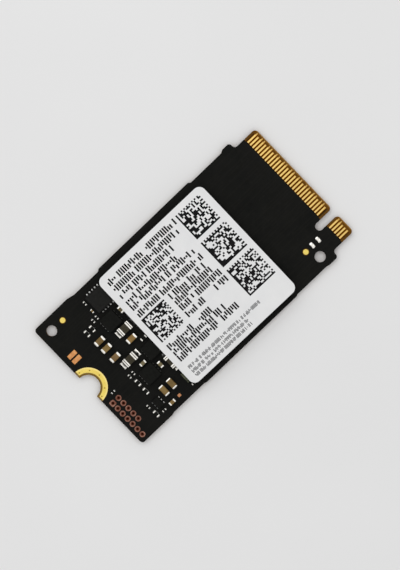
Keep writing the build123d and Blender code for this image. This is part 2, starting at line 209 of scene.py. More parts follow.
def draw_tongue(tree, given):
    """Where the tongue's laminate is clear amber near its cut edges, how near the milled tip is, and where a
    painted glow of light through the laminate lies at the tip.
    """
    side_rim, tip_rim, painted_tip_glow, milled = (0.22, 0.5), (0.4, 0.85), (0.25, 0.75), (0.15, 0.9)
    place = coordinates(tree)
    from_tip = calc("SUBTRACT", given["Tip"], place[1])
    from_side = calc("SUBTRACT", given["Half Width"], calc("ABSOLUTE", place[0]))
    from_key_middle = calc("ABSOLUTE", calc("SUBTRACT", place[0], given["Key"]))
    from_key = calc("SUBTRACT", from_key_middle, given["Key Half"])
    beside = fade(calc("MINIMUM", from_side, from_key), *side_rim)
    at_edge = calc("MAXIMUM", beside, fade(from_tip, *tip_rim))
    under_mask = calc("LESS_THAN", place[1], given["Mask End"])
    return {
        "Rim": calc("MAXIMUM", at_edge, under_mask),
        "Tip Glow": fade(from_tip, *painted_tip_glow),
        "Milled": fade(calc("DIVIDE", from_tip, given["Bevel"]), *milled),
    }


def draw_notch_ring(tree, given):
    """Distance from the mounting notch's axis and from the card's foot, and the pits of filled vias."""
    via_degrees, pit_edge = (12.0, 43.0, 93.0, 131.0, 168.0), (0.6, 1.5)
    place = coordinates(tree)
    up = calc("SUBTRACT", place[1], given["Foot"])
    flat = add(tree, "ShaderNodeCombineXYZ", {0: place[0], 1: up}).outputs[0]
    nearest = None
    for angle in map(math.radians, via_degrees):
        reach = {0: (math.cos(angle), math.sin(angle), 0.0), "Scale": given["Via Ring"]}
        via = add(tree, "ShaderNodeVectorMath", reach, operation="SCALE").outputs[0]
        gap = add(tree, "ShaderNodeVectorMath", {0: flat, 1: via}, operation="DISTANCE").outputs["Value"]
        nearest = calc("MINIMUM", nearest, gap) if nearest else gap
    return {
        "Distance": add(tree, "ShaderNodeVectorMath", {0: flat}, operation="LENGTH").outputs["Value"],
        "From Foot": up,
        "Pit": fade(calc("DIVIDE", nearest, given["Via"]), *pit_edge),
    }


def draw_contact_row(tree, given):
    """How far across and along a contact a point lies: at its sides, where its shade is painted, at its card
    end, and on its stub.
    """
    stagger, shaded_side_edge, card_end, stub = 0.5, (0.45, 0.68), (18.9, 19.4), (20.3, 20.55)
    place = coordinates(tree)
    shift = calc("MULTIPLY", calc("LESS_THAN", place[2], given["Middle"]), stagger)
    column = calc("ADD", calc("DIVIDE", place[0], given["Pitch"]), shift)
    across = calc("MULTIPLY", off_middle(column), given["Pitch"])
    return {
        "Side": fit(calc("DIVIDE", across, given["Half Width"]), *shaded_side_edge),
        "Card End": fade(place[1], *card_end),
        "Stub": fit(place[1], *stub),
    }


NOISE = {"Scale": 1.0, "Detail": 3.0, "Stretch": (1.0, 1.0, 1.0)}
COLOURS = {"Dark": (0.0, 0.0, 0.0, 1.0), "Light": (1.0, 1.0, 1.0, 1.0)}
MOTTLE = effect("mottle", {**NOISE, **COLOURS}, draw_mottle)
SPREAD = effect("spread", {**NOISE, "Low": 0.0, "High": 1.0}, draw_spread)
TRACES = effect("traces", {"Pitch": 0.42, "Run": 3.4, "Share": 0.55}, draw_traces)
WEAVE = effect("weave", {"Yarn": 0.42, "Ply": 0.12}, draw_weave)
TONGUE = effect("tongue", {
    "Tip": 21.0, "Half Width": 9.925, "Key": 6.125, "Key Half": 0.6, "Mask End": 18.75, "Bevel": 0.24,
}, draw_tongue)
NOTCH_RING = effect("notch_ring", {"Foot": -21.0, "Via Ring": 2.33, "Via": 0.1}, draw_notch_ring)
CONTACT_ROW = effect("contact_row", {"Pitch": 0.5, "Middle": 0.4, "Half Width": 0.175}, draw_contact_row)


# Materials

def rgb(*values):
    """A colour that hides what is under it."""
    return (*values, 1.0)


def start_material(name, constants):
    """A material, its tree and its shader with the constants set."""
    material = bpy.data.materials.new(name)
    material.use_nodes = True
    shader = material.node_tree.nodes["Principled BSDF"]
    fill(shader, constants)
    return material, material.node_tree, shader


def wander(tree, scale, low, high):
    """A value that wanders between two ends, as roughness does."""
    return use(tree, SPREAD, Scale=scale, Low=low, High=high)["Value"]


def set_relief(shader, height, depth):
    """Bump of that depth in millimetres under the shader."""
    inputs = {"Height": height, "Distance": depth * MM, "Strength": 1.0}
    fill(shader, {"Normal": add(shader.id_data, "ShaderNodeBump", inputs).outputs[0]})


# How much finer the clouds of roughness are than those of colour
ROUGHNESS_SCALE = 2.3

# The usual share of mirror light, and what stands in its place for metal
PLAIN, METAL = 0.5, None


def clouded(name, dark, light, scale, rough, relief, mirror):
    """A surface of clouded colour and roughness, with a fine relief of that scale and depth."""
    constants = {"Metallic": 1.0} if mirror is METAL else {"Specular IOR Level": mirror}
    material, tree, shader = start_material(name, constants)
    colour = use(tree, MOTTLE, Scale=scale, Dark=rgb(*dark), Light=rgb(*light))["Colour"]
    fill(shader, {"Base Color": colour, "Roughness": wander(tree, scale * ROUGHNESS_SCALE, *rough)})
    set_relief(shader, use(tree, SPREAD, Scale=relief[0])["Value"], relief[1])
    return material


def mask_material():
    """Matt black solder mask, a little lighter and raised over the copper under it."""
    material, tree, shader = start_material("solder_mask", {"Specular IOR Level": 0.06})
    copper_share, peel_share, depth = 0.3, 0.25, 0.006
    cloud = use(tree, MOTTLE, Scale=0.35, Dark=rgb(0.0042, 0.0044, 0.0038), Light=rgb(0.0062, 0.0062, 0.0052))
    traces = use(tree, TRACES)
    colour = tint(traces["Copper"], copper_share, cloud["Colour"], rgb(0.009, 0.0085, 0.0068))
    fill(shader, {"Base Color": colour, "Roughness": wander(tree, 1.4, 0.5, 0.68)})
    peel = calc("MULTIPLY", use(tree, SPREAD, Scale=7.0)["Value"], peel_share)
    set_relief(shader, calc("ADD", traces["Height"], peel), depth)
    return material


# Dark brown at the rim of the mounting notch, on the bare laminate and along the edges of the gold ring
RIM_BROWN = rgb(0.175, 0.1, 0.006)


def laminate_material():
    """Bare laminate: dark over inner copper, amber near cut edges with a painted glow of light through it at
    the tip, pale on the bevel, plies on the cuts.
    """
    material, tree, shader = start_material("laminate", {"Roughness": 0.5, "Specular IOR Level": 0.04})
    glass_share, ply_share, notch_rim, depth = 0.2, 0.3, (1.96, 2.06), 0.006
    weave, tongue, ring = use(tree, WEAVE), use(tree, TONGUE), use(tree, NOTCH_RING)
    resin = use(tree, MOTTLE, Scale=0.8, Dark=rgb(0.005, 0.0018, 0.0002), Light=rgb(0.009, 0.0035, 0.0004))
    amber = use(tree, MOTTLE, Scale=1.3, Dark=rgb(0.085, 0.036, 0.0035), Light=rgb(0.125, 0.055, 0.0055))
    cloth = tint(weave["Glass"], glass_share, amber["Colour"], rgb(0.25, 0.14, 0.03))
    edge = tint(weave["Plies"], ply_share, cloth, rgb(0.07, 0.03, 0.006))
    # Painted glow: light through the clear laminate, painted into its colour near the tip.
    painted_glow = mix_colour(tongue["Tip Glow"], edge, rgb(0.125, 0.048, 0.0025))
    body = mix_colour(tongue["Rim"], resin["Colour"], painted_glow)
    milled = mix_colour(tongue["Milled"], body, rgb(0.325, 0.182, 0.047))
    by_notch = fade(ring["Distance"], *notch_rim)
    fill(shader, {"Base Color": mix_colour(by_notch, milled, RIM_BROWN)})
    set_relief(shader, weave["Glass"], depth)
    return material


def contact_material():
    """Gold of the edge contacts: orange-brown painted shade at their sides, pale at the card end, browner on
    the stubs.
    """
    material, tree, shader = start_material("contact_gold", {"Metallic": 1.0})
    pale_share, stub_share, grain, depth = 0.7, 0.8, (2.2, 0.35, 1.0), 0.003
    row = use(tree, CONTACT_ROW)
    dark, light = rgb(0.6, 0.44, 0.15), rgb(0.69, 0.515, 0.175)
    plate = use(tree, MOTTLE, Scale=1.1, Stretch=grain, Dark=dark, Light=light)
    pale = tint(row["Card End"], pale_share, plate["Colour"], rgb(0.66, 0.5, 0.2))
    worn = tint(row["Stub"], stub_share, pale, rgb(0.42, 0.25, 0.07))
    # Painted shade: the contacts' sides turn orange-brown where the plating rounds off out of the light.
    colour = mix_colour(row["Side"], worn, rgb(0.32, 0.115, 0.0))
    fill(shader, {"Base Color": colour, "Roughness": wander(tree, 2.5, 0.24, 0.38)})
    set_relief(shader, use(tree, SPREAD, Scale=9.0, Stretch=grain)["Value"], depth)
    return material


def ring_material():
    """Yellow gold plate of the mounting ring, with a painted highlight along its outer edge, and pitted at
    its vias with painted shade in the pits.

    Along its inner edge and along its two ends at the card's foot it turns dark brown, without metal.
    """
    material, tree, shader = start_material("ring_gold", {})
    painted_highlight_share, pit_shade_share, grain_share, depth = 0.85, 0.85, 0.05, 0.02
    painted_highlight_edge, notch_rim, foot_rim = (2.5, 2.76), (2.03, 2.06), (0.23, 0.26)
    ring = use(tree, NOTCH_RING)
    plate = use(tree, MOTTLE, Scale=0.5, Dark=rgb(0.66, 0.5, 0.107), Light=rgb(0.75, 0.58, 0.138))
    # Painted highlight: the plate turns pale towards its outer edge, where it rounds over into the light.
    painted_highlight_mask = fit(ring["Distance"], *painted_highlight_edge)
    outer = tint(painted_highlight_mask, painted_highlight_share, plate["Colour"], rgb(0.84, 0.7, 0.28))
    # Painted shade: the via pits are darkened in colour as well as sunk by the relief.
    pit_shaded = tint(ring["Pit"], pit_shade_share, outer, rgb(0.2, 0.12, 0.02))
    at_notch, at_foot = fade(ring["Distance"], *notch_rim), fade(ring["From Foot"], *foot_rim)
    brown_edge = calc("MAXIMUM", at_notch, at_foot)
    colour, plated = mix_colour(brown_edge, pit_shaded, RIM_BROWN), calc("SUBTRACT", 1.0, brown_edge)
    rough = wander(tree, 2.0, 0.24, 0.34)
    fill(shader, {"Base Color": colour, "Metallic": plated, "Roughness": rough})
    grain = calc("MULTIPLY", use(tree, SPREAD, Scale=6.0)["Value"], grain_share)
    set_relief(shader, calc("SUBTRACT", grain, ring["Pit"]), depth)
    return material


def eyelet_material():
    """Tarnished copper of the header's eyelets, deep red down their barrels."""
    material, tree, shader = start_material("tarnished_copper", {"Metallic": 1.0})
    barrel_levels, depth = (0.64, 0.79), 0.004
    plate = use(tree, MOTTLE, Scale=1.4, Dark=rgb(0.145, 0.055, 0.037), Light=rgb(0.28, 0.145, 0.107))
    deep = fade(coordinates(tree)[2], *barrel_levels)
    colour = mix_colour(deep, plate["Colour"], rgb(0.18, 0.042, 0.012))
    fill(shader, {"Base Color": colour, "Roughness": wander(tree, 3.2, 0.4, 0.55)})
    set_relief(shader, use(tree, SPREAD, Scale=9.0)["Value"], depth)
    return material


# Roughness, relief and mirror light of the capacitors' ceramics
CERAMIC = ((0.35, 0.5), (10.0, 0.005), 0.15)

# Clouded finishes: dark and light colour, scale of the clouds, ends of the roughness, scale and depth of the
# relief, and the share of mirror light
CLOUDED = {
    "copper": ((0.46, 0.197, 0.071), (0.6, 0.287, 0.112), 2.2, (0.3, 0.5), (9.0, 0.004), METAL),
    "dull_copper": ((0.345, 0.155, 0.074), (0.45, 0.215, 0.105), 2.2, (0.3, 0.5), (9.0, 0.004), METAL),
    "target_gold": ((0.64, 0.49, 0.118), (0.71, 0.555, 0.14), 1.5, (0.24, 0.36), (6.0, 0.003), METAL),
    "tin": ((0.71, 0.69, 0.64), (0.86, 0.84, 0.79), 2.6, (0.16, 0.3), (7.0, 0.004), METAL),
    "resistor_tin": ((0.66, 0.65, 0.61), (0.8, 0.78, 0.73), 2.6, (0.2, 0.34), (7.0, 0.004), METAL),
    "joint_solder": ((0.1, 0.104, 0.098), (0.22, 0.226, 0.215), 3.0, (0.28, 0.42), (7.0, 0.004), METAL),
    "lead_solder": ((0.36, 0.36, 0.35), (0.52, 0.52, 0.5), 3.0, (0.3, 0.42), (7.0, 0.004), METAL),
    # Dull dark solder. On the pool under the label's edge its darkness is painted shade.
    "dull_solder": ((0.1, 0.1, 0.098), (0.2, 0.2, 0.195), 3.0, (0.4, 0.55), (7.0, 0.004), METAL),
    # Near black: painted shade on toes under the label's edge.
    "flux_covered": ((0.008, 0.008, 0.006), (0.014, 0.014, 0.011), 3.0, (0.5, 0.6), (7.0, 0.004), PLAIN),
    "substrate": ((0.014, 0.022, 0.012), (0.03, 0.04, 0.02), 1.5, (0.5, 0.65), (5.0, 0.004), 0.15),
    "moulding": ((0.0036, 0.0038, 0.003), (0.006, 0.0062, 0.005), 3.0, (0.5, 0.66), (11.0, 0.006), 0.07),
    "grey_moulding": (
        (0.0075, 0.0075, 0.0066), (0.0112, 0.0112, 0.0102), 3.0, (0.5, 0.64), (11.0, 0.006), 0.08,
    ),
    "alumina": ((0.62, 0.62, 0.6), (0.74, 0.74, 0.72), 4.0, (0.45, 0.6), (9.0, 0.003), PLAIN),
    "capacitor_ceramic": ((0.13, 0.08, 0.025), (0.225, 0.148, 0.05), 0.8, *CERAMIC),
    "red_ceramic": ((0.14, 0.082, 0.03), (0.22, 0.137, 0.058), 1.1, *CERAMIC),
    "warm_ceramic": ((0.185, 0.108, 0.032), (0.29, 0.178, 0.052), 0.8, *CERAMIC),
    "grey_ceramic": ((0.115, 0.092, 0.045), (0.185, 0.155, 0.083), 1.1, *CERAMIC),
    # The crystal's tan, darkened by painted shade where the label's edge overhangs it.
    "crystal_tan": ((0.042, 0.047, 0.026), (0.09, 0.095, 0.06), 1.6, (0.35, 0.5), (8.0, 0.004), 0.2),
    "ferrite": ((0.028, 0.0235, 0.0135), (0.047, 0.041, 0.0265), 5.0, (0.5, 0.7), (9.0, 0.008), 0.12),
    "label_paper": ((0.7, 0.702, 0.705), (0.735, 0.735, 0.733), 0.55, (0.42, 0.52), (5.0, 0.003), 0.25),
    "label_ink": ((0.004, 0.004, 0.0042), (0.009, 0.009, 0.0095), 2.4, (0.5, 0.65), (8.0, 0.001), 0.05),
    "label_fine_ink": ((0.06, 0.06, 0.063), (0.1, 0.1, 0.104), 2.4, (0.5, 0.65), (8.0, 0.001), 0.1),
    "floor": ((0.735, 0.735, 0.735), (0.755, 0.755, 0.755), 0.02, (0.8, 0.9), (0.5, 0.002), PLAIN),
}

# A slot of the record has the finish of its own name. Some pieces have another one.
FINISHES = {name: clouded(name, *values) for name, values in CLOUDED.items()}
FINISHES.update(
    laminate=laminate_material(), solder_mask=mask_material(), gold_plate=contact_material(),
    ring_gold=ring_material(), tarnished_copper=eyelet_material(),
)


# Pieces

def stand(name, mesh, finish):
    """A mesh drawn in millimetres, scaled to metres and with a finish, stands in the scene."""
    mesh.name = name
    mesh.transform(Matrix.Scale(MM, 4))
    mesh.materials.clear()
    mesh.materials.append(FINISHES[finish])
    return put(name, mesh)


def as_piece(name, mesh, slot, finish=None, stands_for=()):
    """A drawn mesh becomes a piece of the card, at the origin and unscaled."""
    piece = stand(name, mesh, finish or slot)
    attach(piece, "root")
    if stands_for:
        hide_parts(*stands_for)


def to_mesh(bm, smooth_below=0.0, creases=()):
    """The drawn shape as a mesh. Faces smaller than the given area are smooth, so that flats stay flat.

    Faces that meet at a crease get corners of their own there, so that neither bends the other's shading.
    """
    bmesh.ops.recalc_face_normals(bm, faces=bm.faces)
    for face in bm.faces:
        face.smooth = face.calc_area() < smooth_below
    bmesh.ops.split_edges(bm, edges=list(creases))
    mesh = bpy.data.meshes.new("drawn")
    bm.to_mesh(mesh)
    bm.free()
    return mesh


def in_order(bm):
    """Corners, edges and faces sorted by place, after an operation whose order varies from run to run."""
    digits = 6

    def place(item):
        corners = getattr(item, "verts", [item])
        return [round(sum(corner.co[axis] for corner in corners), digits) for axis in range(3)]

    for items in (bm.verts, bm.edges, bm.faces):
        for index, item in enumerate(sorted(items, key=place)):
            item.index = index
        items.sort()


def corners_of(node):
    """Lowest and highest corner of a CAD node, in millimetres."""
    low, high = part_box(node)
    return Vector(low) / MM, Vector(high) / MM


def solids_of(node):
    """The points of each separate solid of a CAD node, in millimetres."""
    mesh = nodes[node].data
    digits = 4
    keys = [tuple(round(value / MM, digits) for value in vertex.co) for vertex in mesh.vertices]
    parent = {key: key for key in keys}

    def root(key):
        while parent[key] != key:
            parent[key] = parent[parent[key]]
            key = parent[key]
        return key

    for polygon in mesh.polygons:
        first = root(keys[polygon.vertices[0]])
        for index in polygon.vertices[1:]:
            parent[root(keys[index])] = first
    groups = {}
    for key in parent:
        groups.setdefault(root(key), []).append(Vector(key))
    return [groups[key] for key in sorted(groups)]


def box_of(points):
    """Lowest and highest corner of some points."""
    low = Vector(min(point[axis] for point in points) for axis in range(3))
    high = Vector(max(point[axis] for point in points) for axis in range(3))
    return low, high


def boxes_of(node):
    """The corners of each separate solid of a CAD node."""
    return [box_of(solid) for solid in solids_of(node)]


# Points closer than this lie in one plane
TOUCH = 1e-4


def rounded_block(bm, low, high, radius, inner=None):
    """A block with its edges rounded, apart from those round an inner face: its axis and level."""
    place = Matrix.Translation((low + high) / 2) @ Matrix.Diagonal((*(high - low), 1.0))
    made = bmesh.ops.create_cube(bm, size=1.0, matrix=place)
    edges = {edge for vertex in made["verts"] for edge in vertex.link_edges}
    if inner:
        axis, level = inner
        edges = {edge for edge in edges if any(abs(vertex.co[axis] - level) > TOUCH for vertex in edge.verts)}
    bmesh.ops.bevel(bm, geom=list(edges), offset=radius, segments=3, profile=0.5, affect="EDGES")


def disc_outline(centre, radius, sides, corner=1.0):
    """Outline of a disc. A corner above 1 makes it a square whose cut corners reach that much further."""
    outline = []
    for step in range(sides):
        angle = 2 * math.pi * step / sides
        across, along = math.cos(angle), math.sin(angle)
        reach = radius * min(1 / max(abs(across), abs(along)), corner)
        outline.append((centre[0] + reach * across, centre[1] + reach * along))
    return outline


def round_rectangle(centre, half, radius, steps):
    """Outline of a rectangle with round corners, from half its width and length."""
    outline = []
    for quarter, (right, up) in enumerate(((1, 1), (-1, 1), (-1, -1), (1, -1))):
        corner_x = centre.x + right * (half.x - radius)
        corner_y = centre.y + up * (half.y - radius)
        for step in range(steps + 1):
            angle = math.pi / 2 * (quarter + step / steps)
            outline.append((corner_x + radius * math.cos(angle), corner_y + radius * math.sin(angle)))
    return outline


def spool(bm, outlines, levels, capped=False):
    """Outlines, each at its own level, joined in turn. A ring goes back to the first, a disc has two caps."""
    loops = [
        [bm.verts.new((x, y, level)) for x, y in outline]
        for outline, level in zip(outlines, levels)
    ]
    if capped:
        bm.faces.new(loops[0])
        bm.faces.new(loops[-1])
    for loop, following in zip(loops, loops[1:] + ([] if capped else loops[:1])):
        for index, vertex in enumerate(loop):
            after = (index + 1) % len(loop)
            bm.faces.new((vertex, loop[after], following[after], following[index]))


# Repeated pieces, placed by geometry nodes

# Where a copy stands, its turn and its size
Point = namedtuple("Point", "place turn size")
FLAT = (0.0, 0.0, 0.0)

# An area above that of any face of a sample: all of it is smooth
SMOOTH = 10.0

# Cells lap by a hair, so that no paper shows between them
CELL_LAP = 1.002


def geometry_tree(name, **inputs):
    """An empty geometry tree with named inputs: the tree, its input sockets and its output socket."""
    tree = bpy.data.node_groups.new(name, "GeometryNodeTree")
    tree.is_modifier = True
    for label, kind in {"Geometry": "Geometry", **inputs}.items():
        new_socket(tree, "INPUT", label, kind)
    new_socket(tree, "OUTPUT", "Geometry", "Geometry")
    return tree, tree.nodes.new("NodeGroupInput").outputs, tree.nodes.new("NodeGroupOutput").inputs[0]


def close_tree(tree, instances, finish, out):
    """Instances become real geometry with one material."""
    real = add(tree, "GeometryNodeRealizeInstances", {0: instances}).outputs[0]
    inputs = {"Geometry": real, "Material": finish}
    tree.links.new(add(tree, "GeometryNodeSetMaterial", inputs).outputs[0], out)


def make_copies_tree():
    """The sample piece copied to each point, turned and sized by the point's own attributes."""
    tree, sockets, out = geometry_tree("copies", Sample="Object", Finish="Material")

    def attribute(name):
        named = {"Name": name}
        return add(tree, "GeometryNodeInputNamedAttribute", named, data_type="FLOAT_VECTOR").outputs[0]

    placed = add(tree, "GeometryNodeInstanceOnPoints", {
        "Points": sockets["Geometry"],
        "Instance": add(tree, "GeometryNodeObjectInfo", {"Object": sockets["Sample"]}).outputs["Geometry"],
        "Rotation": attribute("turn"),
        "Scale": attribute("size"),
    })
    close_tree(tree, placed.outputs[0], sockets["Finish"], out)
    return tree


def make_code_tree():
    """A square of cells: two solid sides, two broken sides, and cells inside set by chance."""
    kinds = {"Cells": "Int", "Cell": "Float", "Height": "Float", "Fill": "Float", "Seed": "Int"}
    tree, sockets, out = geometry_tree("code_square", **kinds, Finish="Material")
    cells = sockets["Cells"]
    last = calc("SUBTRACT", cells, 1.0)
    span = calc("MULTIPLY", last, sockets["Cell"])
    grid = add(tree, "GeometryNodeMeshGrid", {0: span, 1: span, 2: cells, 3: cells}).outputs[0]
    index = add(tree, "GeometryNodeInputIndex").outputs[0]
    column = calc("FLOOR", calc("DIVIDE", calc("ADD", index, 0.5), cells))
    row = calc("SUBTRACT", index, calc("MULTIPLY", column, cells))

    def at(line, number):
        return calc("COMPARE", line, number, 0.1)

    def even(line):
        return calc("LESS_THAN", calc("MODULO", calc("ADD", line, 0.25), 2.0), 1.0)

    solid = calc("MAXIMUM", at(column, 0.0), at(row, 0.0))
    far_column, far_row = at(column, last), at(row, last)
    broken = calc("MAXIMUM", calc("MULTIPLY", far_column, even(row)), calc("MULTIPLY", far_row, even(column)))
    rim = calc("MAXIMUM", solid, calc("MAXIMUM", far_column, far_row))
    chance = {"Probability": sockets["Fill"], "Seed": sockets["Seed"]}
    lot = add(tree, "FunctionNodeRandomValue", chance, data_type="BOOLEAN").outputs[3]
    inside = calc("MULTIPLY", calc("SUBTRACT", 1.0, rim), lot)
    chosen = calc("MAXIMUM", inside, calc("MAXIMUM", solid, broken))
    side = calc("MULTIPLY", sockets["Cell"], CELL_LAP)
    size = add(tree, "ShaderNodeCombineXYZ", {0: side, 1: side, 2: sockets["Height"]}).outputs[0]
    placed = add(tree, "GeometryNodeInstanceOnPoints", {
        "Points": grid,
        "Selection": calc("GREATER_THAN", chosen, 0.5),
        "Instance": add(tree, "GeometryNodeMeshCube", {"Size": size}).outputs[0],
    })
    close_tree(tree, placed.outputs[0], sockets["Finish"], out)
    return tree


COPIES, CODE_SQUARE = make_copies_tree(), make_code_tree()


def grow(tree, points, inputs):
    """The mesh that a geometry tree makes from points, with the modifier gone again."""
    mesh = bpy.data.meshes.new("points")
    mesh.from_pydata([point.place for point in points], [], [])
    for name in ("turn", "size"):
        layer = mesh.attributes.new(name, "FLOAT_VECTOR", "POINT")
        for item, point in zip(layer.data, points):
            item.vector = getattr(point, name)
    carrier = put("carrier", mesh)
    modifier = carrier.modifiers.new("grow", "NODES")
    modifier.node_group = tree
    for item in tree.interface.items_tree:
        if item.in_out == "INPUT" and item.name in inputs:
            modifier[item.identifier] = inputs[item.name]
    graph = bpy.context.evaluated_depsgraph_get()
    grown = bpy.data.meshes.new_from_object(carrier.evaluated_get(graph), depsgraph=graph)
    bpy.data.objects.remove(carrier)
    return grown


def copied(sample_mesh, points, finish):
    """The mesh of a sample copied to many points."""
    sample = put("sample", sample_mesh)
    mesh = grow(COPIES, points, {"Sample": sample, "Finish": FINISHES[finish]})
    bpy.data.objects.remove(sample)
    return mesh


def copies(name, sample_mesh, points, slot, finish=None, stands_for=()):
    """A piece made of copies of a sample."""
    as_piece(name, copied(sample_mesh, points, finish or slot), slot, finish, stands_for)


# Solder

# Width of a fillet's top, its steps up and across, and how fast the pinch dies away from the toe
SOLDER_WIDTH = 0.98
SOLDER_STEPS = 8
SOLDER_LANES = 8
PINCH_POWER = 8

# Knee of the curve, flare of the foot, pinch of the toe, and how far the sides sink
POOL_FORM = ((0.42, 0.02), 0.06, 0.13, 0.8)
CHIP_FORM = ((0.3, 0.3), 0.04, 0.16, 0.0)
LEAD_FORM = ((0.2, 0.2), 0.08, 0.16, 0.0)


def solder_sample(knee, flare, pinch, sink):
    """A fillet one unit long, wide and high against a wall at x = 0.

    Its curve is drawn from toe to wall towards the knee, a point out of the corner. Its foot flares, its toe
    is pinched in, and its sides sink by a share of its height.
    """
    bm = bmesh.new()
    rows = []
    for step in range(SOLDER_STEPS + 1):
        up = step / SOLDER_STEPS
        x = (1 - up) ** 2 + 2 * up * (1 - up) * knee[0]
        z = up ** 2 + 2 * up * (1 - up) * knee[1]
        width = SOLDER_WIDTH + flare * (1 - up) ** 2 - pinch * (1 - up) ** PINCH_POWER
        row = []
        for lane in range(SOLDER_LANES + 1):
            across = lane / SOLDER_LANES - 0.5
            row.append(bm.verts.new((x, width * across, z * (1 - sink * (2 * across) ** 2))))
        rows.append(row)
    for low, high in zip(rows, rows[1:]):
        for lane in range(SOLDER_LANES):
            bm.faces.new((low[lane], low[lane + 1], high[lane + 1], high[lane]))
    heels = []
    for lane, side in ((0, -0.5), (SOLDER_LANES, 0.5)):
        heel = bm.verts.new((0, SOLDER_WIDTH * side, 0))
        for low, high in zip(rows, rows[1:]):
            bm.faces.new((low[lane], high[lane], heel))
        heels.append(heel)
    flats = [bm.faces.new((heels[0], *row, heels[1])) for row in (rows[0], rows[-1])]
    return to_mesh(bm, SMOOTH, {edge for face in flats for edge in face.edges})


# How far below its highest point a fillet still counts as its wall
WALL_DEPTH = 0.001


def solder_points(node):
    """Where each fillet of a node stands: at its wall's foot, turned to its toe, with its own size."""
    points = []
    for solid in solids_of(node):
        low, high = box_of(solid)
        top = [point for point in solid if point.z > high.z - WALL_DEPTH]
        wall = sum(top, Vector()) / len(top)
        lean = (low + high) / 2 - wall
        along_x = abs(lean.x) > abs(lean.y)
        turn = math.atan2(0 if along_x else lean.y, lean.x if along_x else 0)
        reach, width = (high - low).xy if along_x else (high - low).yx
        points.append(Point((wall.x, wall.y, low.z), (0, 0, turn), (reach, width, high.z - low.z)))
    return points


# Fillets that reach further lie on a wide pad, and others that climb higher belong to capacitors
POOL_REACH = 0.4
CAPACITOR_CLIMB = 0.25

# Fillets turned further than this have their toe on the label's side, and its shade starts this far before it
LABEL_TURNED = 0.1
SHADE = 0.2
LABEL_LOW, LABEL_HIGH = corners_of("label")

# Form and finish of the chips' joints
JOINTS = {
    "wide": (POOL_FORM, "tin"),
    # Painted shade: the pool under the label's edge gets the dark solder in place of bright tin.
    "shaded": (POOL_FORM, "dull_solder"),
    "steep": (CHIP_FORM, "joint_solder"),
    "small": (CHIP_FORM, "lead_solder"),
}


def to_label(point):
    """Whether a fillet's toe lies on the side of the label."""
    return point.turn[2] > LABEL_TURNED


def joint_kind(point):
    """Which of the kinds of joint a fillet is."""
    reach, _, climb = point.size
    if reach > POOL_REACH:
        in_shade = to_label(point) and point.place[1] + reach > LABEL_LOW.y - SHADE
        return "shaded" if in_shade else "wide"
    return "steep" if climb > CAPACITOR_CLIMB else "small"


def make_solder():
    """Smooth fillets in place of the plain ones: wide bright pools, one darkened with painted shade under the
    label's edge, steep and small ones.
    """
    joints = solder_points("solder_joints")
    for kind, (form, finish) in JOINTS.items():
        points = [point for point in joints if joint_kind(point) == kind]
        copies("solder_joints_" + kind, solder_sample(*form), points, "tin", finish, ["solder_joints"])


def lead_finish(node, point):
    """Grey solder at the switch and on the gate's label side, near-black painted shade on most converters'
    toes, else dull.
    """
    if node.startswith("power_switch") or (node.startswith("logic_gate") and to_label(point)):
        return "lead_solder"
    # Painted shade: all of converter_3's toes and the other converters' toes on the label's side are near
    # black.
    if node.startswith("converter_3") or (node.startswith("converter") and to_label(point)):
        return "flux_covered"
    return "dull_solder"


def make_leads():
    """Smooth solder toes at the leads, one piece for each finish in a row."""
    for node in [name for name in nodes if name.endswith("_leads")]:
        rows = {}
        for point in solder_points(node):
            rows.setdefault(lead_finish(node, point), []).append(point)
        for number, (finish, points) in enumerate(rows.items()):
            copies(f"{node}_smooth_{number + 1}", solder_sample(*LEAD_FORM), points, "tin", finish, [node])


# Small parts

# Rounding of an inductor's strap, and the groove in it
STRAP_EDGE = 0.1
STRAP_STEPS = 4
GROOVE_HALF = 0.085
GROOVE_DEPTH = 0.052

# Rounding of terminals and inductors' bodies, as a share of their height, and of moulded bodies
END_ROUNDING = 0.2
FERRITE_ROUNDING = 0.05
MOULD_EDGE = 0.04

# Faces under these areas belong to rounded edges
BODY_FACET = 0.12
END_FACET = 0.02
RESISTOR_FACET = 0.01
PACKAGE_FACET = 0.05

# Capacitors whose plating reaches less far along the body
NARROW_BANDS = {"capacitor_05": 0.24, "capacitor_06": 0.24}

# Ceramic bodies of another batch
CERAMICS = {
    "capacitor_03": "red_ceramic",
    "capacitor_04": "warm_ceramic",
    "capacitor_07": "grey_ceramic",
    "capacitor_08": "grey_ceramic",
    "capacitor_11": "grey_ceramic",
}

# Slot and edge of the crystal's two pieces
CRYSTAL = {"crystal_base": ("capacitor_ceramic", 0.05), "crystal_lid": ("tin", 0.06)}


def grooved_end(bm, low, high, axis, outward):
    """An inductor's folded terminal strap: a block with a groove across its top and a round outer edge."""
    length, tall = (high - low)[axis], high.z - low.z
    groove_at = length / 2
    profile = [(0, 0), (0, tall), (groove_at - GROOVE_HALF, tall)]
    profile += [(groove_at, tall - GROOVE_DEPTH), (groove_at + GROOVE_HALF, tall)]
    for step in range(STRAP_STEPS + 1):
        angle = math.pi / 2 * step / STRAP_STEPS
        along = length - STRAP_EDGE + STRAP_EDGE * math.sin(angle)
        profile.append((along, tall - STRAP_EDGE + STRAP_EDGE * math.cos(angle)))
    profile.append((length, 0))
    start = low[axis] if outward > 0 else high[axis]
    across = 1 - axis
    loops = []
    for side in (low[across], high[across]):
        loop = []
        for along, up in profile:
            spot = Vector((0, 0, low.z + up))
            spot[axis], spot[across] = start + outward * along, side
            loop.append(bm.verts.new(spot))
        loops.append(loop)
        bm.faces.new(loop)
    for index in range(len(profile)):
        after = (index + 1) % len(profile)
        bm.faces.new((loops[0][index], loops[0][after], loops[1][after], loops[1][index]))


